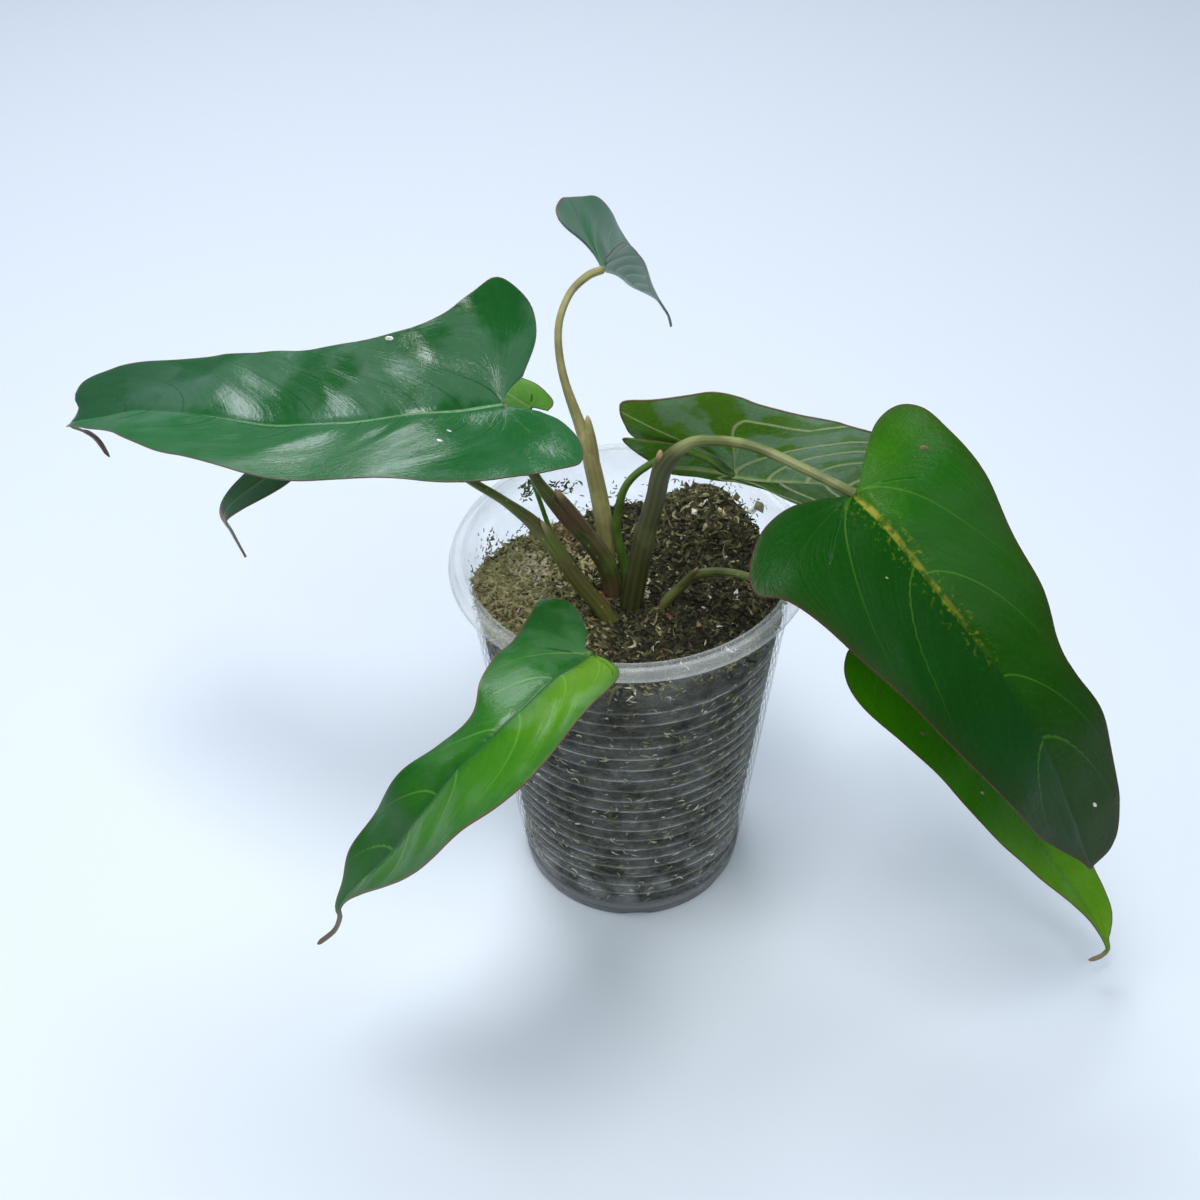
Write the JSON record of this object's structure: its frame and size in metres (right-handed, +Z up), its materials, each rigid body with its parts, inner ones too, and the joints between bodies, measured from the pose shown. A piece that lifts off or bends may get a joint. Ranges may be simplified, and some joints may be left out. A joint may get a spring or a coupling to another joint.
{
  "type": "potted philodendron pinnatilobum",
  "caption": "Young arrow-leaved aroid house plant with sheathed petioles, rooted in moss and peat in a clear ribbed plastic cup.",
  "frame": {"origin": "under the middle of the whole plant's box, on the surface that the cup stands on", "axes": "+Z up, +X towards the right leaf's tip side, +Y away from the viewer"},
  "size_m": [0.2766, 0.195, 0.1885],
  "materials": {
    "cup": "clear gloss",
    "potting_mix": "coarse moss and peat",
    "dried_scale": "dry papery",
    "dark_leaf": "glossy leaf",
    "mottled_leaf": "glossy mottled leaf",
    "bright_leaf": "glossy leaf",
    "leaf_underside": "satin leaf underside",
    "grey_leaf": "satin leaf",
    "young_leaf": "satin leaf",
    "petiole": "smooth stalk"
  },
  "bodies": {
    "root": {"cup": "cup", "potting_mix": "potting_mix", "dried_scale": "dried_scale", "left_leaf_blade": "dark_leaf", "left_leaf_petiole": "petiole", "right_leaf_blade": "mottled_leaf", "right_leaf_petiole": "petiole", "front_leaf_blade": "bright_leaf", "front_leaf_petiole": "petiole", "back_right_leaf_blade": "leaf_underside", "back_right_leaf_petiole": "petiole", "low_right_leaf_blade": "bright_leaf", "low_right_leaf_petiole": "petiole", "under_left_leaf_blade": "dark_leaf", "under_left_leaf_petiole": "petiole", "top_leaf_blade": "grey_leaf", "top_leaf_petiole": "petiole", "young_leaf_blade": "young_leaf", "young_leaf_petiole": "petiole"}
  },
  "joints": []
}
